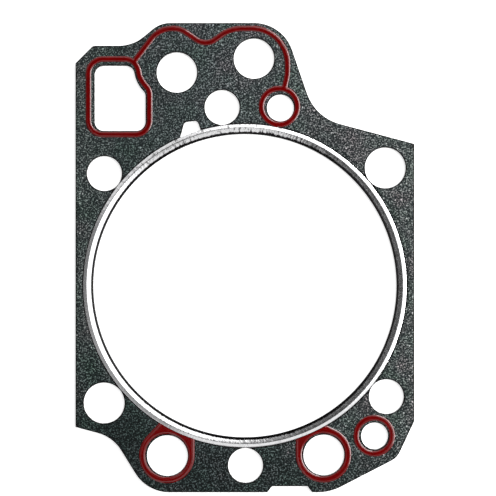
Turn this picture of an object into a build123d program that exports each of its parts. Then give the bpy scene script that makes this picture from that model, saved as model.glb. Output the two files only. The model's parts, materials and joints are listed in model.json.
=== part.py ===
from build123d import *
from math import atan, cos, degrees, radians, sin, tan
import os

# Cylinder head gasket for one cylinder of a heavy diesel engine, in millimetres.
# The origin is the middle of the cylinder bore, halfway through the sheet.
# +Z faces the cylinder head, and +Y runs to the end with the pushrod holes.

# Fire ring: a steel strip folded in a U over the sheet's edge at the bore
bore_radius = 65.5
flange_width = 4.4
strip_thickness = 0.25
ring_wall_height = 0.9
crown_setback = 2.4

# Sheet, one layered board of fibre on a steel core
sheet_thickness = 1.5

# Bolt holes, set round the fire ring with only a sliver of sheet between
bolt_hole_radius = 7.5
bolt_land = 0.3
bolt_angles = (97.3, 141.4, 270.2, 321.9)
dowel_hole_radius = 8.8
dowel_land = 0.5
dowel_angles = (40.0, 219.8)

# Pushrod holes
pushrod_hole_radius = 8.7
pushrod_from_side = 43.8
pushrod_above_ring = 22.25
pushrod_pitch = 33.35
pushrod_step = 6.0

# Coolant and oil passages
coolant_hole_radius = 8.8
coolant_land = 2.05
coolant_angles = (245.5, 295.0)
oil_hole_radius = 5.8
oil_feed_land = 2.65
oil_feed_angle = 78.7
oil_return_land = 10.1
oil_return_angle = 310.8

# Rims of sheet between a hole and the outline
side_rim = 5.0
dowel_corner = 10.4
shoulder_slope = 14.9
lobe_rim = 7.0
top_rim = 6.7
flank_rim = 8.1
slope_rim = 12.3
flank_angle = 18.9
slope_angle = 130.1
left_lobe_angle = 211.8
right_lobe_angle = 297.3
heel_angle = 334.9

# Roundings of the outline
inner_round = 17.2
outer_round = 17.4
flank_round = 20.8
slope_round = 12.2
lobe_round = 22.6
heel_round = 8.7
longest_fill = 0.98

# Top left shoulder and its chamfer
shoulder_above_ring = 33.8
shoulder_chamfer = 7.6

# Notch in the bottom edge
notch_from_coolant = 5.1
notch_width = 19.3
notch_depth = 2.6
notch_slant = 2.0

# Oil window in the top left shoulder
window_side_rim = 8.3
window_top_rim = 8.65
window_width = 21.95
window_height = 28.15
window_waist_inset = 4.05
window_top_inset = 1.3
waist_drop = 7.45
hip_drop = 11.95
window_round = 4.0
waist_round = 15.0
hip_round = 3.4

# Vent beside the fire ring
vent_angle = 108.9
vent_height = 5.4
vent_slant = 1.1
vent_right = 3.65
vent_top_left = 1.9
vent_foot_left = 5.6
vent_round = 1.7

# Silicone beads, printed a little off their holes
bead_height = 0.25
bead_shoulder = 0.4
oil_bead_width = 2.4
oil_bead_margin = 0.8
window_bead_margin = 1.05
upper_print_shift = (-0.5, 0.6)
coolant_bead_width = 2.7
coolant_bead_margin = 0.5
coolant_leg_length = 9.5
left_leg_angles = ((0, 90), (137.4, -90))
right_leg_angles = ((180, -90), (64, 90))
lower_print_shift = (-0.25, 0.15)

# Trunk of bead that joins the window's loop to the oil feed's ring
trunk_edge_gap = 2.45
trunk_root_right = 0.6
trunk_root_up = 0.8
trunk_rise = 7.6
trunk_fall = 1.5
dip_from_pushrod = 12.4
dip_depth = 7.7
trunk_recovery = 10.2
trunk_flank_gap = 14.4
trunk_flank_foot = 6.8
trunk_rise_round = 10.8
trunk_dip_round = 7.0
trunk_flank_round = 15.3
trunk_foot_round = 7.0
trunk_meets_ring = 75

# Sizes that follow from these
ring_radius = bore_radius + flange_width
crown_height = sheet_thickness / 2 + strip_thickness
nose_slope = degrees(atan((crown_height - ring_wall_height / 2) / crown_setback))
bead_taper = degrees(atan(bead_shoulder / bead_height))


def polar(radius, angle):
    """The point at a radius and an angle in degrees about the bore's centre."""
    return Vector(radius * cos(radians(angle)), radius * sin(radians(angle)))


# Centres of the holes
bolt_circle = ring_radius + bolt_land + bolt_hole_radius
dowel_circle = ring_radius + dowel_land + dowel_hole_radius
coolant_circle = ring_radius + coolant_land + coolant_hole_radius
bolts = [polar(bolt_circle, angle) for angle in bolt_angles]
upper_dowel, lower_dowel = [polar(dowel_circle, angle) for angle in dowel_angles]
left_coolant, right_coolant = [polar(coolant_circle, angle) for angle in coolant_angles]
oil_feed = polar(ring_radius + oil_feed_land + oil_hole_radius, oil_feed_angle)
oil_return = polar(ring_radius + oil_return_land + oil_hole_radius, oil_return_angle)
half_width = bolt_hole_radius + side_rim - bolts[1].X
left_pushrod = Vector(pushrod_from_side - half_width, ring_radius + pushrod_above_ring)
right_pushrod = left_pushrod + Vector(pushrod_pitch, pushrod_step)
shoulder_y = ring_radius + shoulder_above_ring


def edge(point, distance, facing):
    """A straight edge that runs a distance outside a point and faces an angle."""
    return facing, polar(1, facing).dot(point) + distance


def corner(first, second):
    """Where two such edges meet."""
    (angle_a, reach_a), (angle_b, reach_b) = first, second
    a, b = radians(angle_a), radians(angle_b)
    x = (reach_a * sin(b) - reach_b * sin(a)) / sin(b - a)
    y = (reach_b * cos(a) - reach_a * cos(b)) / sin(b - a)
    return Vector(x, y)


def fit_rounds(corners, rounds):
    """The roundings, made smaller where two would meet on the run between their corners."""
    runs = [Vector(b) - Vector(a) for a, b in zip(corners, corners[1:] + corners[:1])]
    turns = [runs[i - 1].get_angle(run) for i, run in enumerate(runs)]
    reaches = [size * tan(radians(turn / 2)) for size, turn in zip(rounds, turns)]
    room = []
    for run, reach, next_reach in zip(runs, reaches, reaches[1:] + reaches[:1]):
        needed = reach + next_reach
        room.append(min(1, longest_fill * run.length / needed) if needed else 1)
    return [size * min(room[i - 1], room[i]) for i, size in enumerate(rounds)]


# Straight edges of the outline, counter-clockwise, each with the rounding of its end
upper_dowel_corner = Vector(half_width, upper_dowel.Y + dowel_corner)
lower_dowel_corner = Vector(-half_width, lower_dowel.Y - dowel_corner)
chamfer_corner = Vector(shoulder_chamfer - half_width, shoulder_y)
outline = [
    (edge(upper_dowel_corner, 0, 0), 0),
    (edge(upper_dowel_corner, 0, 90 - shoulder_slope), flank_round),
    (edge(right_pushrod, pushrod_hole_radius + flank_rim, flank_angle), outer_round),
    (edge(right_pushrod, pushrod_hole_radius + top_rim, 90), slope_round),
    (edge(left_pushrod, pushrod_hole_radius + slope_rim, slope_angle), inner_round),
    (edge(chamfer_corner, 0, 90), 0),
    (edge(chamfer_corner, 0, 135), 0),
    (edge(lower_dowel_corner, 0, 180), 0),
    (edge(lower_dowel_corner, 0, 270 - shoulder_slope), inner_round),
    (edge(left_coolant, coolant_hole_radius + lobe_rim, left_lobe_angle), outer_round),
    (edge(left_coolant, coolant_hole_radius + lobe_rim, 270), lobe_round),
    (edge(oil_return, oil_hole_radius + lobe_rim, right_lobe_angle), heel_round),
    (edge(oil_return, oil_hole_radius + lobe_rim, heel_angle), 0),
]
edges = [straight for straight, rounding in outline]
outline_corners = [corner(a, b) for a, b in zip(edges, edges[1:] + edges[:1])]
outline_rounds = fit_rounds(outline_corners, [rounding for straight, rounding in outline])
bottom_y = left_coolant.Y - coolant_hole_radius - lobe_rim
top_y = right_pushrod.Y + pushrod_hole_radius + top_rim

# Corners of the window, clockwise from the top left
window_left = window_side_rim - half_width
window_right = window_left + window_width
waist_right = window_right - window_waist_inset
window_top = shoulder_y - window_top_rim
window_corners = [
    (window_left, window_top),
    (waist_right - window_top_inset, window_top),
    (waist_right, window_top - waist_drop),
    (window_right, window_top - hip_drop),
    (window_right, window_top - window_height),
    (window_left, window_top - window_height),
]
window_rounds = fit_rounds(
    window_corners,
    [window_round, window_round, waist_round, hip_round, window_round, window_round],
)


def fold_corners(depth):
    """Corners of the folded strip's section, at a depth under its outside, from wall to toe."""
    wall_end = Vector(bore_radius, ring_wall_height / 2)
    flange_toe = Vector(ring_radius, crown_height)
    straights = [
        edge(wall_end, -depth, 180),
        edge(wall_end, -depth, 90 + nose_slope),
        edge(flange_toe, -depth, 90),
        edge(flange_toe, 0, 0),
    ]
    return [corner(a, b) for a, b in zip(straights, straights[1:])]


# Fire ring
with BuildPart() as fire_ring:
    with BuildSketch(Plane.XZ):
        with BuildLine():
            Polyline(
                (bore_radius, 0),
                *fold_corners(0),
                *reversed(fold_corners(strip_thickness)),
                (bore_radius + strip_thickness, 0),
            )
            mirror(about=Plane.XZ)
        make_face()
    revolve(axis=Axis.Z)
fire_ring.part.label = "fire_ring"

# Sheet: the board with its holes, and the edge that fills the fold of the fire ring
with BuildPart() as gasket_sheet:
    with BuildSketch():
        with BuildLine():
            FilletPolyline(*outline_corners, radius=outline_rounds, close=True)
        make_face()
        Circle(ring_radius, mode=Mode.SUBTRACT)
        with Locations(*bolts):
            Circle(bolt_hole_radius, mode=Mode.SUBTRACT)
        with Locations(upper_dowel, lower_dowel):
            Circle(dowel_hole_radius, mode=Mode.SUBTRACT)
        with Locations(left_pushrod, right_pushrod):
            Circle(pushrod_hole_radius, mode=Mode.SUBTRACT)
        with Locations(left_coolant, right_coolant):
            Circle(coolant_hole_radius, mode=Mode.SUBTRACT)
        with Locations(oil_feed, oil_return):
            Circle(oil_hole_radius, mode=Mode.SUBTRACT)
        with BuildLine():
            FilletPolyline(*window_corners, radius=window_rounds, close=True)
        make_face(mode=Mode.SUBTRACT)
        with BuildLine():
            notch_right = right_coolant.X - notch_from_coolant
            Polyline(
                (notch_right, bottom_y),
                (notch_right - notch_slant, bottom_y + notch_depth),
                (notch_right - notch_width + notch_slant, bottom_y + notch_depth),
                (notch_right - notch_width, bottom_y),
                close=True,
            )
        make_face(mode=Mode.SUBTRACT)
        with BuildLine(Plane.XY.rotated((0, 0, vent_angle - 90))):
            vent_foot = ring_radius - strip_thickness
            vent_head = ring_radius + vent_height
            FilletPolyline(
                (vent_right, vent_foot),
                (vent_right, vent_head - vent_slant),
                (-vent_top_left, vent_head),
                (-vent_foot_left, vent_foot),
                radius=[0, vent_round, vent_round, 0],
                close=True,
            )
        make_face(mode=Mode.SUBTRACT)
    extrude(amount=sheet_thickness / 2, both=True)
    with BuildSketch(Plane.XZ):
        with BuildLine():
            Polyline(
                (bore_radius + strip_thickness, 0),
                *fold_corners(strip_thickness),
                (ring_radius, 0),
            )
            mirror(about=Plane.XZ)
        make_face()
    revolve(axis=Axis.Z)
gasket_sheet.part.label = "gasket_sheet"

# Bead round the window, with its trunk and the ring round the oil feed
sheet_face = Plane.XY.offset(sheet_thickness / 2)
upper_shift = Vector(*upper_print_shift)
lower_shift = Vector(*lower_print_shift)
loop_corners = [Vector(*point) + upper_shift for point in window_corners]
feed_bead_centre = oil_feed + upper_shift
feed_bead_inside = oil_hole_radius + oil_bead_margin
feed_bead_middle = feed_bead_inside + oil_bead_width / 2
trunk_top = top_y - trunk_edge_gap
flank_x = right_pushrod.X + trunk_flank_gap
trunk_corners = [
    loop_corners[1] + Vector(trunk_root_right, trunk_root_up),
    (left_pushrod.X - trunk_rise, trunk_top),
    (left_pushrod.X + trunk_fall, trunk_top),
    (left_pushrod.X + dip_from_pushrod, trunk_top - dip_depth),
    (right_pushrod.X - trunk_recovery, trunk_top),
    (flank_x, trunk_top),
    (flank_x, right_pushrod.Y - trunk_flank_foot),
    feed_bead_centre + polar(feed_bead_middle, trunk_meets_ring),
]
trunk_rounds = fit_rounds(
    trunk_corners,
    [
        0,
        trunk_rise_round,
        trunk_rise_round,
        trunk_dip_round,
        trunk_flank_round,
        trunk_flank_round,
        trunk_foot_round,
        0,
    ],
)
with BuildPart() as window_bead:
    with BuildSketch(sheet_face):
        with BuildLine():
            FilletPolyline(*loop_corners, radius=window_rounds, close=True)
            offset(amount=window_bead_margin + oil_bead_width)
        make_face()
        with BuildLine():
            FilletPolyline(*loop_corners, radius=window_rounds, close=True)
            offset(amount=window_bead_margin)
        make_face(mode=Mode.SUBTRACT)
        with BuildLine():
            FilletPolyline(*trunk_corners, radius=trunk_rounds[1:-1])
        trace(line_width=oil_bead_width)
        with Locations(feed_bead_centre):
            Circle(feed_bead_inside + oil_bead_width)
            Circle(feed_bead_inside, mode=Mode.SUBTRACT)
    extrude(amount=bead_height, taper=bead_taper)
    with BuildSketch(sheet_face):
        Circle(ring_radius)
    extrude(amount=bead_height, mode=Mode.SUBTRACT)

# Bead round the oil return hole, a plain ring
with BuildPart() as oil_bead:
    with BuildSketch(sheet_face):
        with Locations(oil_return + lower_shift):
            Circle(feed_bead_inside + oil_bead_width)
            Circle(feed_bead_inside, mode=Mode.SUBTRACT)
    extrude(amount=bead_height, taper=bead_taper)


def coolant_bead(centre, first_leg, second_leg):
    """A bead round a coolant hole, whose two legs leave it at a tangent and run under the ring."""
    inside = coolant_hole_radius + coolant_bead_margin
    outside = inside + coolant_bead_width
    legs = []
    for angle, turn in (first_leg, second_leg):
        root = centre + polar(outside, angle)
        legs.append((root, root + polar(coolant_leg_length, angle + turn)))
    (first_root, first_end), (second_root, second_end) = legs
    with BuildPart() as bead:
        with BuildSketch(sheet_face):
            with BuildLine():
                Polyline(centre, first_root, first_end, second_end, second_root, close=True)
            make_face()
            with Locations(centre):
                Circle(outside)
                Circle(inside, mode=Mode.SUBTRACT)
        extrude(amount=bead_height, taper=bead_taper)
        with BuildSketch(sheet_face):
            Circle(ring_radius)
        extrude(amount=bead_height, mode=Mode.SUBTRACT)
    return bead


beads = {
    "window_bead": window_bead,
    "oil_bead": oil_bead,
    "left_coolant_bead": coolant_bead(left_coolant + lower_shift, *left_leg_angles),
    "right_coolant_bead": coolant_bead(right_coolant + lower_shift, *right_leg_angles),
}

os.makedirs("parts", exist_ok=True)
export_step(gasket_sheet.part, "parts/gasket_sheet.step")
export_step(fire_ring.part, "parts/fire_ring.step")

# Every bead is printed on both faces of the sheet
for name, bead in beads.items():
    with BuildPart() as back_bead:
        mirror(bead.part, about=Plane.XY)
    bead.part.label = f"{name}_front"
    back_bead.part.label = f"{name}_back"
    export_step(bead.part, f"parts/{name}_front.step")
    export_step(back_bead.part, f"parts/{name}_back.step")
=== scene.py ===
# Cylinder head gasket for one cylinder of a heavy diesel engine, lying flat on a white table.
# Lengths are in metres. The origin is the middle of the bore, halfway through the sheet.

import json
import math

import bpy
import numpy as np
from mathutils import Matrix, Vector, geometry


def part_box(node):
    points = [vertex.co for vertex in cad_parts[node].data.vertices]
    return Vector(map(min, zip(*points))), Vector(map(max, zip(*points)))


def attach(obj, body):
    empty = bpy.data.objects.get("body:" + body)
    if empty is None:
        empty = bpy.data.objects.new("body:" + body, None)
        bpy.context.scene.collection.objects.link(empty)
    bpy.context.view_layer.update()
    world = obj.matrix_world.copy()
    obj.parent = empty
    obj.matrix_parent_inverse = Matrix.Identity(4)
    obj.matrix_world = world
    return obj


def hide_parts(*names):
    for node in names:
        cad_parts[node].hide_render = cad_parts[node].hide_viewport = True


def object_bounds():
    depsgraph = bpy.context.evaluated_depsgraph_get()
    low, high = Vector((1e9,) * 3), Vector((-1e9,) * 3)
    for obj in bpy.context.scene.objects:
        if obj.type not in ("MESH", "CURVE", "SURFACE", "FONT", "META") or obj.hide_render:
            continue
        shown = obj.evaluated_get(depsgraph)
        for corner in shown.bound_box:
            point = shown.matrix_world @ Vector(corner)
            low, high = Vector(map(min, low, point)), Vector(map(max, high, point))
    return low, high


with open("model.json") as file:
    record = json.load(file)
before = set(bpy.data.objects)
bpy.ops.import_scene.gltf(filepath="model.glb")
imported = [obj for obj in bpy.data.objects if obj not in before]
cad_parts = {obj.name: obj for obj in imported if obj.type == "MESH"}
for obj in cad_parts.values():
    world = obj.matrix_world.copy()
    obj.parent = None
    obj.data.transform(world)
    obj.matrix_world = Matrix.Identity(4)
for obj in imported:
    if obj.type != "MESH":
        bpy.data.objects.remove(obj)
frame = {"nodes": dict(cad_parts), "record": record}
cad_low, cad_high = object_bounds()
mm = 0.001

# Camera, straight above the gasket. The bore's centre lies left of the picture's middle and
# below it, and the bore's rim gives the scale.
picture_width_px = 496
bore_centre_px = (244.94, 285.71)
bore_radius_px = 151.73
bore_radius = frame["record"]["mounts"][0]["dims"]["r_mm"] * mm
metres_per_px = bore_radius / bore_radius_px
camera_height = 0.55
sensor_width_mm = 36
camera_data = bpy.data.cameras.new("camera")
camera_data.sensor_width = sensor_width_mm
camera_data.lens = sensor_width_mm * camera_height / (picture_width_px * metres_per_px)
camera = bpy.data.objects.new("camera", camera_data)
camera.location = (
    (picture_width_px / 2 - bore_centre_px[0]) * metres_per_px,
    (bore_centre_px[1] - picture_width_px / 2) * metres_per_px,
    cad_high.z + camera_height,
)
bpy.context.scene.collection.objects.link(camera)
bpy.context.scene.camera = camera
bpy.context.scene.view_settings.view_transform = "Standard"


# Gasket sheet, one board of compressed fibre on a steel core. It is cut out with a die, which
# leaves its edges and its holes a little rounded, and its faces are rolled not quite smooth.
hair = 0.001 * mm
spot_digits = 7


def pairs_round(row):
    """Each item of a closed row with the one after it."""
    return zip(row, [*row[1:], row[0]])


def face_outlines(node, height):
    """The closed outlines of a node's flat face at a height, each a row of points in XY."""
    mesh = frame["nodes"][node].data
    spots = [(round(v.co.x, spot_digits), round(v.co.y, spot_digits)) for v in mesh.vertices]
    level = [abs(v.co.z - height) < hair for v in mesh.vertices]
    following = {}
    for polygon in mesh.polygons:
        if all(level[i] for i in polygon.vertices):
            for a, b in pairs_round([spots[i] for i in polygon.vertices]):
                following.setdefault(a, set()).add(b)
    border = {}
    for a, ends in following.items():
        open_ends = [b for b in ends if a not in following.get(b, ())]
        if open_ends:
            border[a] = open_ends[0]
    outlines = []
    while border:
        start, point = next(iter(border.items()))
        outline = [start]
        del border[start]
        while point != start:
            outline.append(point)
            point = border.pop(point)
        outlines.append(np.array(outline))
    return outlines


def rounder(outline, longest_turn=0.3):
    """An outline with its arcs drawn in steps a third as long. Straight runs and corners stay."""
    before = outline - np.roll(outline, 1, 0)
    after = np.roll(outline, -1, 0) - outline
    length = np.hypot(*after.T)
    turn = np.arctan2(before[:, 0] * after[:, 1] - before[:, 1] * after[:, 0], (before * after).sum(1))
    points = []
    for i, point in enumerate(outline):
        points.append(point)
        j = (i + 1) % len(outline)
        k = (i + 2) % len(outline)
        beside = (length[i - 1], length[j])
        even = max(beside) < 2 * length[i] and min(beside) > length[i] / 2
        if even and abs(turn[i]) < longest_turn and abs(turn[j]) < longest_turn:
            for share in (1 / 3, 2 / 3):
                a, b, c, d = outline[i - 1], point, outline[j], outline[k]
                points.append(
                    b
                    + share * (c - a) / 2
                    + share**2 * (a - 2.5 * b + 2 * c - d / 2)
                    + share**3 * (3 * b - a - 3 * c + d) / 2
                )
    return np.array(points)


def even_steps(outline, step):
    """An outline with its long runs cut into even steps."""
    points = []
    for a, b in pairs_round(outline):
        count = max(1, round(math.dist(a, b) / step))
        points.extend(a + (b - a) * n / count for n in range(count))
    return np.array(points)


def distance_to(points, outlines, outside=0.0):
    """How far each point lies from the nearest run of the outlines that is outside a radius."""
    starts = np.concatenate(outlines)
    runs = np.concatenate([np.roll(o, -1, 0) - o for o in outlines])
    counts = np.hypot(*(starts + runs / 2).T) > outside
    starts, runs = starts[counts], runs[counts]
    squared = (runs**2).sum(1)
    nearest = np.empty(len(points))
    block = 2000
    for first in range(0, len(points), block):
        away = points[first : first + block, None] - starts
        share = np.clip((away * runs).sum(2) / squared, 0, 1)
        nearest[first : first + block] = np.sqrt(((away - share[..., None] * runs) ** 2).sum(2).min(1))
    return nearest


def inside(points, outlines):
    """Which points lie inside the outlines, and not in a hole."""
    x, y = points.T
    found = np.zeros(len(points), bool)
    for outline in outlines:
        for a, b in pairs_round(outline):
            if a[1] != b[1]:
                crosses = (a[1] > y) != (b[1] > y)
                found ^= crosses & (x < (b[0] - a[0]) * (y - a[1]) / (b[1] - a[1]) + a[0])
    return found


def fill_face(outlines, insets, spacing, more_rows=()):
    """Points and triangles that fill the outlines, and the places of each outline's points.

    Rows of points run at insets from the outlines, and a grid fills what is left.
    """
    least_inset_share = 0.97
    grid_inset_share = 1.5
    same_spot = 1e-9
    rows = [np.concatenate(outlines)]
    for inset in insets:
        for outline in outlines:
            along = np.roll(outline, -1, 0) - np.roll(outline, 1, 0)
            sideways = np.stack([-along[:, 1], along[:, 0]], 1) / np.hypot(*along.T)[:, None]
            moved = outline + inset * sideways
            rows.append(moved[distance_to(moved, outlines) > least_inset_share * inset])
    low, high = rows[0].min(0), rows[0].max(0)
    row_spacing = spacing * math.sqrt(3) / 2
    across, up = np.meshgrid(np.arange(low[0], high[0], spacing), np.arange(low[1], high[1], row_spacing))
    across[1::2] += spacing / 2
    grid = np.stack([across.ravel(), up.ravel()], 1)
    for row in more_rows:
        grid = grid[np.abs(np.hypot(*grid.T) - np.hypot(*row[0])) > spacing / 2]
    grid = np.concatenate([grid, *more_rows])
    grid = grid[inside(grid, outlines)]
    rows.append(grid[distance_to(grid, outlines) > grid_inset_share * insets[-1]])
    ends = np.cumsum([len(outline) for outline in outlines])
    loops = [range(end - len(outline), end) for outline, end in zip(outlines, ends)]
    borders = [pair for loop in loops for pair in pairs_round(loop)]
    spots = [Vector(p) for p in np.concatenate(rows)]
    flat, _, triangles, sources, _, _ = geometry.delaunay_2d_cdt(spots, borders, [], 0, same_spot)
    points = np.array(flat)
    triangles = np.array(triangles)
    triangles = triangles[inside(points[triangles].mean(1), outlines)]
    place = {source: i for i, found in enumerate(sources) for source in found}
    rims = [[place[i] for i in loop] for loop in loops]
    # A triangle that takes a border the wrong way round is a sliver outside the outlines.
    outer_sides = {(b, a) for rim in rims for a, b in pairs_round(rim)}
    beyond = [any(side in outer_sides for side in pairs_round(t)) for t in triangles.tolist()]
    return points, triangles[~np.array(beyond)], rims


def add_piece(name, vertices, faces, material, sharp_angle=40):
    """A mesh object with one material, smooth but for its sharp edges."""
    mesh = bpy.data.meshes.new(name)
    used, corners = np.unique(np.concatenate(faces), return_inverse=True)
    ends = np.cumsum([len(f) for f in faces])
    mesh.from_pydata(vertices[used].tolist(), [], [c.tolist() for c in np.split(corners, ends[:-1])])
    mesh.update()
    mesh.shade_smooth()
    mesh.set_sharp_from_angle(angle=math.radians(sharp_angle))
    mesh.materials.append(material)
    piece = bpy.data.objects.new(name, mesh)
    bpy.context.scene.collection.objects.link(piece)
    return piece


def new_material(name):
    """An empty material with a Principled shader, its node tree and that shader."""
    material = bpy.data.materials.new(name)
    material.use_nodes = True
    return material, material.node_tree, material.node_tree.nodes["Principled BSDF"]


def set_inputs(tree, node, values):
    """Set the inputs of a node, with a link where a value is a socket."""
    for key, value in values.items():
        if isinstance(value, bpy.types.NodeSocket):
            tree.links.new(value, node.inputs[key])
        else:
            node.inputs[key].default_value = value


def add_node(tree, kind, values=None, **settings):
    """A node with its settings and its input values."""
    node = tree.nodes.new(kind)
    for key, value in settings.items():
        setattr(node, key, value)
    set_inputs(tree, node, values or {})
    return node


def position(tree):
    """The point on the object, in metres."""
    return add_node(tree, "ShaderNodeTexCoord").outputs["Object"]


def parts_of(tree, place):
    """The X, Y and Z of a point."""
    return add_node(tree, "ShaderNodeSeparateXYZ", {"Vector": place}).outputs


def add_noise(tree, place, scale, detail, roughness=0.5):
    """Soft random patches, so many to a unit of length."""
    values = {"Vector": place, "Scale": scale, "Detail": detail, "Roughness": roughness}
    return add_node(tree, "ShaderNodeTexNoise", values).outputs["Fac"]


def add_math(tree, operation, *values):
    """The result of a Math node."""
    return add_node(tree, "ShaderNodeMath", dict(enumerate(values)), operation=operation).outputs["Value"]


def add_mix(tree, factor, first, second, blend_type="MIX"):
    """Two colours mixed or multiplied."""
    values = {"Factor": factor, "A": first, "B": second}
    node = add_node(tree, "ShaderNodeMix", values, data_type="RGBA", blend_type=blend_type)
    return node.outputs["Result"]


def add_span(tree, value, low, high, at_low=0.0, at_high=1.0):
    """A number that goes from at_low to at_high while a value goes from low to high."""
    values = {"Value": value, "From Min": low, "From Max": high, "To Min": at_low, "To Max": at_high}
    return add_node(tree, "ShaderNodeMapRange", values).outputs["Result"]


def add_ramp(tree, factor, stops):
    """A colour ramp over a factor, from (place, grey or colour) stops."""
    node = add_node(tree, "ShaderNodeValToRGB", {"Fac": factor})
    elements = node.color_ramp.elements
    while len(elements) < len(stops):
        elements.new(0.5)
    for element, (place, shade) in zip(elements, stops):
        element.position = place
        element.color = (*shade, 1) if isinstance(shade, tuple) else (shade, shade, shade, 1)
    return node.outputs["Color"]


def add_bump(tree, height, strength, distance):
    """The normal of a fine relief."""
    values = {"Height": height, "Strength": strength, "Distance": distance}
    return add_node(tree, "ShaderNodeBump", values).outputs["Normal"]


board, tree, shader = new_material("fibre_board")
place = position(tree)
fleck_size = 0.62 * mm
patch_size = 14 * mm
pebble_size = 0.9 * mm
glint_flake_size = 1.25 * mm
low_reach = -90 * mm
high_reach = 110 * mm
side_reach = 70 * mm
spread_way = (0.25, 1.0, 0.0)
glint_colour = (0.42, 0.43, 0.43, 1)
grain = add_noise(tree, place, 1 / fleck_size, detail=1.0, roughness=0.6)
patches = add_noise(tree, place, 1 / patch_size, detail=3.0, roughness=0.55)
pebbles = add_node(tree, "ShaderNodeTexVoronoi", {"Vector": place, "Scale": 1 / pebble_size})
speckle_stops = [
    (0.38, (0.004, 0.006, 0.007)),
    (0.49, (0.017, 0.022, 0.022)),
    (0.56, (0.047, 0.053, 0.053)),
    (0.66, (0.200, 0.214, 0.210)),
]
low_speckle_stops = [
    (0.40, (0.003, 0.006, 0.006)),
    (0.50, (0.013, 0.022, 0.021)),
    (0.57, (0.052, 0.074, 0.072)),
    (0.65, (0.270, 0.325, 0.315)),
]
tint_stops = [(0.3, (0.8, 1.0, 0.9)), (0.5, (0.95, 1.0, 1.0)), (0.7, (1.15, 1.0, 1.05))]
side_light_stops = [
    (0.0, (0.74, 0.76, 0.74)),
    (0.10, (0.50, 0.56, 0.55)),
    (0.35, (0.70, 0.72, 0.74)),
    (1.0, (1.0, 0.96, 0.95)),
]
painted_sheen_stops = [(0.0, 0.49), (0.08, 0.53), (0.22, 1.24), (0.5, 1.45), (1.0, 1.45)]
speckle = add_ramp(tree, grain, speckle_stops)
low_speckle = add_ramp(tree, grain, low_speckle_stops)
tint = add_ramp(tree, patches, tint_stops)
spread = add_node(tree, "ShaderNodeVectorMath", {0: place, 1: spread_way}, operation="DOT_PRODUCT")
spread_share = add_span(tree, spread.outputs["Value"], low_reach, high_reach)
side_share = add_span(tree, parts_of(tree, place)["X"], -side_reach, side_reach)
# Painted sheen: the speckle is tealer at the lower end and greyer toward the upper part.
upper_sheen_share = add_ramp(tree, spread_share, [(0.08, 0.0), (0.25, 1.0)])
both_speckles = add_mix(tree, upper_sheen_share, low_speckle, speckle)
# A few cells of a coarse pattern are pale flakes, painted glints, more of them toward the right
# where the lamps stand.
glint_flakes = add_node(
    tree, "ShaderNodeTexVoronoi", {"Vector": place, "Scale": 1 / glint_flake_size}, distance="MANHATTAN"
)
glint_lot = add_node(tree, "ShaderNodeSeparateColor", {"Color": glint_flakes.outputs["Color"]})
glint_edge = add_ramp(tree, glint_flakes.outputs["Distance"], [(0.24, 1.0), (0.40, 0.0)])
fewest_glints = add_ramp(tree, side_share, [(0.3, 0.93), (0.9, 0.84), (1.0, 0.76)])
chosen = add_math(tree, "GREATER_THAN", glint_lot.outputs["Red"], fewest_glints)
glint_share = add_math(tree, "MULTIPLY", chosen, glint_edge)
glinted_speckles = add_mix(tree, glint_share, both_speckles, glint_colour)
board_colour = add_mix(tree, 1.0, glinted_speckles, tint, "MULTIPLY")
# Painted sheen and shade: the board is darker at its lower end and down its left side, lighter
# at its upper right where the lamps' sheen falls, and lighter again at its very left edge.
painted_sheen_and_shade = add_ramp(tree, spread_share, painted_sheen_stops)
side_light = add_ramp(tree, side_share, side_light_stops)
painted_light_tint = add_mix(tree, 1.0, side_light, painted_sheen_and_shade, "MULTIPLY")
relief = add_math(tree, "ADD", grain, pebbles.outputs["Distance"])
board_look = {
    "Base Color": add_mix(tree, 1.0, board_colour, painted_light_tint, "MULTIPLY"),
    "Roughness": add_ramp(tree, grain, [(0.35, 0.6), (0.7, 0.4)]),
    "Specular IOR Level": 0.12,
    "Normal": add_bump(tree, relief, strength=0.9, distance=0.10 * mm),
}
set_inputs(tree, shader, board_look)

# Cut edges: their rounded rim is painted near black, painted shade, and the wall between carries pale
# flecks, painted glints.
cut_edge_shade_and_glints, tree, shader = new_material("cut_edge_shade_and_glints")
place = position(tree)
fibres_per_metre = 1400.0
wall_height = 0.5 * mm
rounding_height = 0.62 * mm
rounding_shade_colour = (0.002, 0.002, 0.002, 1)
cut_noise = add_noise(tree, place, fibres_per_metre, detail=2.0)
from_middle = add_math(tree, "ABSOLUTE", parts_of(tree, place)["Z"])
wall_share = add_span(tree, from_middle, rounding_height, wall_height)
wall_glints = add_ramp(tree, cut_noise, [(0.42, 0.012), (0.58, 0.6)])
cut_look = {
    "Base Color": add_mix(tree, wall_share, rounding_shade_colour, wall_glints),
    "Roughness": 0.8,
    "Specular IOR Level": 0.1,
    "Normal": add_bump(tree, cut_noise, strength=0.6, distance=0.08 * mm),
}
set_inputs(tree, shader, cut_look)

face_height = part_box("gasket_sheet")[1].z
edge_width = 0.46 * mm
edge_drop = 0.32 * mm
edge_insets = [edge_width * (1 - math.cos(math.radians(a))) for a in (30, 60, 90)]
shaded_edge_width = 0.9 * edge_width
outline_step = 1.5 * mm
sheet_spacing = 2.2 * mm
sheet_outlines = face_outlines("gasket_sheet", face_height)
bore_outline = min(sheet_outlines, key=lambda o: np.ptp(np.hypot(*o.T)) + (np.ptp(o[:, 0]) < bore_radius))
cut_outlines = [o for o in sheet_outlines if o is not bore_outline]
cut_outlines = [even_steps(rounder(o), outline_step) for o in cut_outlines]
bore_outline = even_steps(rounder(bore_outline), outline_step)
sheet_bore_radius = np.hypot(*bore_outline.T).mean()
flange_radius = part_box("fire_ring")[1].x
groove_width = 0.4 * mm
groove_depth = 0.12 * mm
groove_steps = 500
groove_start = 0.1 * mm
groove_radius = flange_radius + groove_width
groove_edge = groove_radius + groove_width / 4
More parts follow.
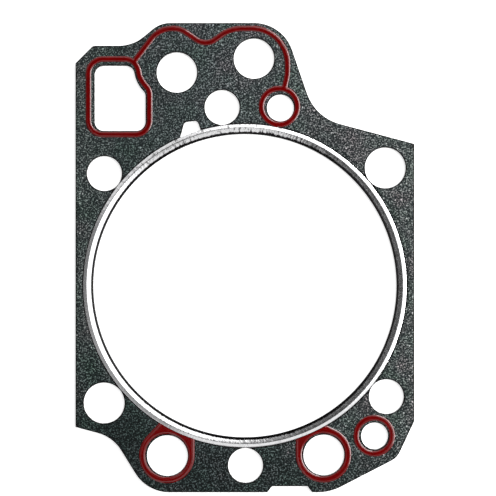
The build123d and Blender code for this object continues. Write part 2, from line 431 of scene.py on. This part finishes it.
turns = np.linspace(0, 2 * math.pi, groove_steps, endpoint=False)
circle = np.stack([np.cos(turns), np.sin(turns)], 1)
groove_radii = (groove_radius - 2 * groove_width, groove_radius, groove_radius + groove_width / 2)
sheet_points, sheet_triangles, sheet_rims = fill_face(
    [*cut_outlines, bore_outline], edge_insets, sheet_spacing, [circle * r for r in groove_radii]
)
*cut_rims, bore_rim = sheet_rims
from_edge = distance_to(sheet_points, cut_outlines)
from_bore = np.hypot(*sheet_points.T) - sheet_bore_radius
rounding = np.clip(1 - from_edge / edge_width, 0, 1)
drop = edge_drop * (1 - np.sqrt(1 - rounding**2))
wave_height = 0.012 * mm
wave_length = 11 * mm
wave_stretch = 1.3
flat_margin = 3 * mm
wave_x, wave_y = sheet_points.T / wave_length
waves = np.sin(2 * math.pi * wave_x + 2 * np.sin(wave_y))
waves *= np.sin(2 * math.pi * wave_y / wave_stretch + np.sin(wave_x))
waves *= np.clip(np.minimum(from_edge, from_bore - flat_margin) / wave_length, 0, 1)
top = np.column_stack([sheet_points, face_height - drop - wave_height * (1 + waves) * (waves != 0)])
top[(np.hypot(*sheet_points.T) < groove_edge) & (from_bore > groove_start), 2] -= groove_depth
bottom = top * (1, 1, -1)
count = len(top)
sheet_xyz = np.array([v.co for v in frame["nodes"]["gasket_sheet"].data.vertices])
sheet_radii = np.hypot(*sheet_xyz[:, :2].T)
nose_radius = sheet_radii.min()
nose_wall = sheet_xyz[sheet_radii < nose_radius + 10 * hair][:, 2].max()
nose_points = sheet_points[bore_rim] * (nose_radius / np.hypot(*sheet_points[bore_rim].T))[:, None]
nose_top = np.column_stack([nose_points, np.full(len(bore_rim), nose_wall)])
nose_bottom = nose_top * (1, 1, -1)
nose_rim = range(2 * count, 2 * count + len(bore_rim))
sheet_vertices = np.concatenate([top, bottom, nose_top, nose_bottom])
sheet_faces = list(sheet_triangles) + [t[::-1] + count for t in sheet_triangles]
for rim in cut_rims:
    sheet_faces += [(b, a, a + count, b + count) for a, b in pairs_round(rim)]
for (a, b), (upper_a, upper_b) in zip(pairs_round(bore_rim), pairs_round(nose_rim)):
    lower_a, lower_b = upper_a + len(bore_rim), upper_b + len(bore_rim)
    sheet_faces.append((b, a, upper_a, upper_b))
    sheet_faces.append((upper_b, upper_a, lower_a, lower_b))
    sheet_faces.append((lower_b, lower_a, a + count, b + count))
sheet = add_piece("sheet", sheet_vertices, sheet_faces, board)
sheet.data.materials.append(cut_edge_shade_and_glints)
from_cut = np.concatenate([from_edge, from_edge, np.zeros(2 * len(bore_rim))])
# Everything inside the groove's edge takes the cut edge's material too: a painted shadow in the groove
# along the ring's toe.
from_cut[np.hypot(*sheet_vertices[:, :2].T) < groove_edge] = 0
# Faces close to a cut edge take the cut edge's painted shade and glints.
for polygon in sheet.data.polygons:
    if from_cut[list(polygon.vertices)].mean() < shaded_edge_width:
        polygon.material_index = 1
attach(sheet, "root")
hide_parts("gasket_sheet")


# Fire ring, a strip of stainless steel folded in a U over the sheet's edge at the bore and
# pressed flat. The press leaves fine creases across the strip. The colour holds painted shade:
# the fold at the bore is painted dark, and painted dark streaks cross the strip, darkest at the
# ring's upper end.
steel, tree, shader = new_material("ring_steel")
place = position(tree)
grains_per_metre = 500.0
streak_width = 1.1 * mm
streak_run = 2.2 * mm
streak_length = 1.8 * mm
fold_start = bore_radius + 0.95 * mm
fold_end = bore_radius + 1.2 * mm
short_streaks_y = 48 * mm
long_streaks_y = 64 * mm
plain_strip_y = 35 * mm
dark_streaks_y = 62 * mm
steel_noise = add_noise(tree, place, grains_per_metre, detail=3.0)
steel_colour = add_ramp(tree, steel_noise, [(0.3, (0.76, 0.76, 0.77)), (0.7, (0.82, 0.82, 0.83))])
x, y, _ = parts_of(tree, place)
flat_place = add_node(tree, "ShaderNodeVectorMath", {0: place, 1: (1.0, 1.0, 0.0)}, operation="MULTIPLY")
from_axis = add_node(
    tree, "ShaderNodeVectorMath", {0: flat_place.outputs["Vector"]}, operation="LENGTH"
).outputs["Value"]
# The streaks' pattern is laid out on the arc and the distance from the axis.
turn_round = add_math(tree, "ARCTAN2", y, x)
streak_arc = add_math(tree, "MULTIPLY", turn_round, bore_radius / streak_width)
streak_out = add_math(tree, "MULTIPLY", from_axis, 1 / streak_run)
streak_place = add_node(tree, "ShaderNodeCombineXYZ", {"X": streak_arc, "Y": streak_out})
streaks = add_noise(tree, streak_place.outputs["Vector"], scale=1.0, detail=2.0)
# They fray the rim of the fold's painted shade, most of all at the ring's upper and lower ends.
from_side = add_math(tree, "ABSOLUTE", y)
end_share = add_span(tree, from_side, short_streaks_y, long_streaks_y, at_low=0.12)
streak_swing = add_math(tree, "ADD", streaks, -0.5)
streak_reach = add_math(tree, "MULTIPLY", streak_swing, end_share)
fold_reach = add_math(tree, "MULTIPLY_ADD", streak_reach, streak_length, from_axis)
fold_shade = add_span(tree, fold_reach, fold_start, fold_end, at_low=0.03)
# At the upper end they paint shade across the strip's whole width.
streak_shade = add_ramp(tree, streaks, [(0.33, 0.3), (0.46, 1.0)])
upper_end = add_span(tree, y, plain_strip_y, dark_streaks_y, at_low=0.15)
upper_shade = add_mix(tree, upper_end, (1, 1, 1, 1), streak_shade)
ring_shade = add_math(tree, "MULTIPLY", fold_shade, upper_shade)
steel_look = {
    "Metallic": 1.0,
    "Base Color": add_mix(tree, 1.0, steel_colour, ring_shade, "MULTIPLY"),
    "Roughness": add_ramp(tree, steel_noise, [(0.3, 0.14), (0.7, 0.17)]),
    "Normal": add_bump(tree, steel_noise, strength=0.05, distance=0.01 * mm),
}
set_inputs(tree, shader, steel_look)

crown_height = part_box("fire_ring")[1].z
steps_round = 1200
skin_steps = 28
toe_gap = 0.05 * mm
# The slope of the strip's outer skin, from the fold at the bore over the crest to the toe.
crest_places_mm = (2.78, 2.86, 2.94)
slope_places_mm = (0.0, 0.04, 0.15, 0.25, 1.0, 1.15, *crest_places_mm, 4.15, 4.28, 4.4)
slope_degrees = (80, 65, 35, 12, 9.5, 17.8, 15.2, 3, -9, -10, -40, -60)
skin_r = (flange_radius - bore_radius) * (1 - np.cos(np.linspace(0, math.pi, skin_steps))) / 2
skin_r = np.sort(np.concatenate([skin_r, np.array(crest_places_mm) * mm]))
slope = np.tan(np.radians(np.interp(skin_r / mm, slope_places_mm, slope_degrees)))
skin_z = np.concatenate([[0], np.cumsum(np.diff(skin_r) * (slope[1:] + slope[:-1]) / 2)])
skin_z += crown_height - skin_z.max()
upper_skin = list(zip(bore_radius + skin_r, skin_z))
inner_skin = [
    (flange_radius - toe_gap, face_height - groove_depth),
    (sheet_bore_radius, face_height),
    (nose_radius, nose_wall),
]
half = upper_skin + inner_skin
section = half + [(r, -z) for r, z in half[::-1]]
section_r, section_z = np.array(section).T
across = len(section)
on_skin = np.zeros(across)
on_skin[: len(upper_skin)] = 1
on_skin[-len(upper_skin) :] = 1
round_angle = (np.arange(steps_round) * 2 * math.pi / steps_round)[:, None]
reach = section_r - bore_radius
# Fine creases lie across the strip all round, and small dents between the fold and the crest.
rng = np.random.default_rng(7)
crease_height = 0.005 * mm
crease_count = 60
fewest_waves = 90
most_waves = 420
lean_spread = 2500
creases = np.zeros((steps_round, across))
for waves_round in rng.integers(fewest_waves, most_waves, crease_count):
    lean, start, weight = rng.normal(0, lean_spread), rng.uniform(0, 2 * math.pi), rng.uniform(0.3, 1)
    creases += weight * np.sin(waves_round * round_angle + lean * reach + start)
creases *= crease_height / creases.std()
dent_count = 260
dent_width = 0.3 * mm / bore_radius
dent_depth = 0.014 * mm
dent_reach_mm = (0.9, 3.2)
dent_length_mm = (0.4, 1.0)
dent_places = rng.uniform(0, 2 * math.pi, dent_count)
dent_weights = rng.uniform(0.2, 1, dent_count)
for dent_place, weight in zip(dent_places, dent_weights):
    middle, length = rng.uniform(*dent_reach_mm) * mm, rng.uniform(*dent_length_mm) * mm
    turn = (round_angle - dent_place + math.pi) % (2 * math.pi) - math.pi
    creases -= dent_depth * weight * np.exp(-((turn / dent_width) ** 2) - ((reach - middle) / length) ** 2)
creases *= on_skin
along_r = np.gradient(section_r)
along_z = np.gradient(section_z)
step = np.hypot(along_r, along_z)
ring_r = section_r + creases * along_z / step
ring_z = section_z - creases * along_r / step
ring_vertices = np.stack([ring_r * np.cos(round_angle), ring_r * np.sin(round_angle), ring_z], 2)
ring_faces = [
    (here + k, there + k, there + j, here + j)
    for here, there in pairs_round(range(0, steps_round * across, across))
    for j, k in pairs_round(range(across))
]
fire_ring = add_piece("folded_ring", ring_vertices.reshape(-1, 3), ring_faces, steel)
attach(fire_ring, "root")
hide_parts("fire_ring")


# Silicone beads, printed wet through a screen on both faces and cured, so they crown a little
# and their shoulders are round. They stop against the toe of the fire ring.
silicone, tree, shader = new_material("red_silicone")
place = position(tree)
ripples_per_metre = 450.0
print_noise = add_noise(tree, place, ripples_per_metre, detail=2.0)
silicone_stops = [(0.3, (0.110, 0.0, 0.0)), (0.7, (0.150, 0.0002, 0.0004))]
silicone_look = {
    "Base Color": add_ramp(tree, print_noise, silicone_stops),
    "Roughness": 0.1,
    "Specular IOR Level": 0.65,
    "Normal": add_bump(tree, print_noise, strength=0.2, distance=0.03 * mm),
}
set_inputs(tree, shader, silicone_look)


def signed_area(outline):
    """The area inside an outline, less than nought where it runs clockwise."""
    x, y = outline.T
    return np.sum(x * np.roll(y, -1) - y * np.roll(x, -1)) / 2


shoulder_widths = {
    "window_bead": 0.62 * mm,
    "oil_bead": 0.62 * mm,
    "left_coolant_bead": 0.95 * mm,
    "right_coolant_bead": 0.66 * mm,
}
shoulder_steps = (0.2, 0.4, 0.6, 0.8, 1.0)
bead_step = 0.6 * mm
bead_spacing = 0.7 * mm
clear_of_toe = flange_radius + 0.02 * mm
for bead_name, shoulder_width in shoulder_widths.items():
    shoulder_insets = [shoulder_width * s for s in shoulder_steps]
    bead_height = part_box(f"{bead_name}_front")[1].z - face_height
    outlines = face_outlines(f"{bead_name}_front", face_height)
    outlines = [even_steps(rounder(o), bead_step) for o in outlines]
    if sum(signed_area(o) for o in outlines) < 0:
        outlines = [o[::-1] for o in outlines]
    points, triangles, rims = fill_face(outlines, shoulder_insets, bead_spacing)
    # The shoulder is steep at its foot and levels out to the crown, and the end at the toe has none.
    climb = np.clip(distance_to(points, outlines, clear_of_toe) / shoulder_width, 0, 1)
    rise = bead_height * climb * (1.9 - 0.8 * climb - 0.1 * climb**2)
    # Where the foot has no height, the top and the bottom share their points.
    raised = rise > hair
    triangles = triangles[raised[triangles].any(1)]
    low_place = np.where(raised, len(points) + np.cumsum(raised) - 1, np.arange(len(points)))
    for face_name, side in (("front", 1), ("back", -1)):
        upper = np.column_stack([points, side * (face_height + rise)])
        lower = np.column_stack([points[raised], np.full(raised.sum(), side * face_height)])
        faces = [t[::side] for t in triangles] + [low_place[t[::-side]] for t in triangles]
        for a, b in [pair for rim in rims for pair in pairs_round(rim)]:
            wall = tuple(dict.fromkeys((b, a, low_place[a], low_place[b])))
            if len(wall) > 2:
                faces.append(wall[::side])
        bead = add_piece(f"{bead_name}_{face_name}_print", np.concatenate([upper, lower]), faces, silicone)
        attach(bead, "root")
        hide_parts(f"{bead_name}_{face_name}")


# Table, a plain white board under the gasket. What the camera or a mirror sees of it glows a
# little, so it reads as pure white. For all other light it is plain white paint.
table_size = 12.0
table_glow = 0.75
table_white = 0.85


def seen_share(tree):
    """One for a ray from the camera, off a mirror or through glass, nought for other light."""
    rays = add_node(tree, "ShaderNodeLightPath").outputs
    seen = add_math(tree, "ADD", rays["Is Camera Ray"], rays["Is Glossy Ray"])
    return add_math(tree, "ADD", seen, rays["Is Transmission Ray"])


def add_glow(tree, strength):
    """White light from a surface."""
    values = {"Color": (1, 1, 1, 1), "Strength": strength}
    return add_node(tree, "ShaderNodeEmission", values).outputs["Emission"]


def level_corners(low, high, z):
    """The corners of a level oblong between two corners in XY."""
    return [(low[0], low[1], z), (high[0], low[1], z), (high[0], high[1], z), (low[0], high[1], z)]


def add_flat(name, corners, material):
    """A flat piece between its corners."""
    mesh = bpy.data.meshes.new(name)
    mesh.from_pydata(corners, [], [tuple(range(len(corners)))])
    mesh.materials.append(material)
    flat = bpy.data.objects.new(name, mesh)
    bpy.context.scene.collection.objects.link(flat)
    return flat


table_material, tree, shader = new_material("white_table")
set_inputs(tree, shader, {"Base Color": (table_white, table_white, table_white, 1), "Roughness": 0.9})
glow = add_glow(tree, add_math(tree, "MULTIPLY", seen_share(tree), table_glow))
blend = add_node(tree, "ShaderNodeAddShader", {0: shader.outputs["BSDF"], 1: glow})
set_inputs(tree, tree.nodes["Material Output"], {"Surface": blend.outputs["Shader"]})
corner = table_size / 2
table = add_flat("table", level_corners((-corner, -corner), (corner, corner), cad_low.z), table_material)


# Studio: a soft box and two strip lamps over the gasket's right and upper right, in a white room.
# Level cards hang overhead and glow at a fixed dark or grey, painted light, where the steel and the
# beads mirror them. They give the steel and the beads their dark parts.
def add_soft_box(name, place, width, height, radiance):
    """An area lamp of a given brightness at a place, aimed at the gasket."""
    lamp = bpy.data.lights.new(name, "AREA")
    lamp.shape = "RECTANGLE"
    lamp.size, lamp.size_y = width, height
    lamp.energy = radiance * math.pi * width * height
    thing = bpy.data.objects.new(name, lamp)
    thing.location = place
    thing.rotation_mode = "QUATERNION"
    thing.rotation_quaternion = (-thing.location).to_track_quat("-Z", "Y")
    thing.visible_camera = False
    bpy.context.scene.collection.objects.link(thing)


def from_above(azimuth, tilt, distance):
    """A place at an azimuth from +X and a tilt from straight up, in degrees."""
    azimuth, tilt = math.radians(azimuth), math.radians(tilt)
    return (
        distance * math.sin(tilt) * math.cos(azimuth),
        distance * math.sin(tilt) * math.sin(azimuth),
        distance * math.cos(tilt),
    )


def add_glowing_card(name, corners, shade):
    """A flat card that glows at a fixed grey, painted light, and that the camera doesn't see."""
    card_material, tree, _ = new_material(name)
    set_inputs(tree, tree.nodes["Material Output"], {"Surface": add_glow(tree, shade)})
    card = add_flat(name, corners, card_material)
    card.visible_camera = False


def fan_corners(radii, first, last, z):
    """The corners of a level fan between two radii and two azimuths from +X, in degrees."""
    azimuths = np.radians(np.linspace(first, last, fan_steps))
    edge = [(radii[0], a) for a in azimuths] + [(radii[1], a) for a in azimuths[::-1]]
    return [(r * math.cos(a), r * math.sin(a), z) for r, a in edge]


add_soft_box("key_box", from_above(30, 31, 1.6), width=1.8, height=1.45, radiance=1.32)
add_soft_box("right_strip", from_above(0, 59, 1.3), width=1.4, height=0.3, radiance=13.0)
add_soft_box("upper_strip", from_above(50, 54, 1.3), width=0.8, height=0.26, radiance=13.0)
card_height = 0.9
fan_steps = 24
black_glow = 0.02
inner_radii = (0.272, 0.45)
outer_radii = (0.455, 0.75)
cards = {
    "camera_flag": (level_corners((-0.145, -0.12), (0.18, 0.27), card_height), black_glow),
    "window_flag": (level_corners((-0.22, 0.09), (-0.145, 0.29), card_height), black_glow),
    "trunk_flag": (level_corners((-0.16, 0.27), (0.07, 0.34), card_height), black_glow),
    "left_bead_flag": (level_corners((-0.155, -0.33), (-0.035, -0.16), card_height), black_glow),
    "right_bead_flag": (level_corners((0.035, -0.33), (0.2, -0.12), card_height), black_glow),
    "inner_fan": (fan_corners(inner_radii, 114, 253, card_height), 0.032),
    "inner_fan_end": (fan_corners(inner_radii, 92, 114, card_height), 0.22),
    "outer_fan": (fan_corners(outer_radii, 154, 192, card_height), 0.25),
    "outer_fan_end": (fan_corners(outer_radii, 192, 248, card_height), 0.38),
    "near_flag": (level_corners((-0.25, -3.0), (3.0, -0.8), card_height), black_glow),
    "left_flag": (level_corners((-3.0, -3.0), (-0.76, 3.0), card_height), 0.06),
}
for name, (corners, shade) in cards.items():
    add_glowing_card(name, corners, shade)

world = bpy.data.worlds.new("studio")
bpy.context.scene.world = world
world.use_nodes = True
tree = world.node_tree
room_light = (0.2, 0.2, 0.2, 1)
room = add_mix(tree, seen_share(tree), room_light, (1, 1, 1, 1))
set_inputs(tree, tree.nodes["Background"], {"Color": room})
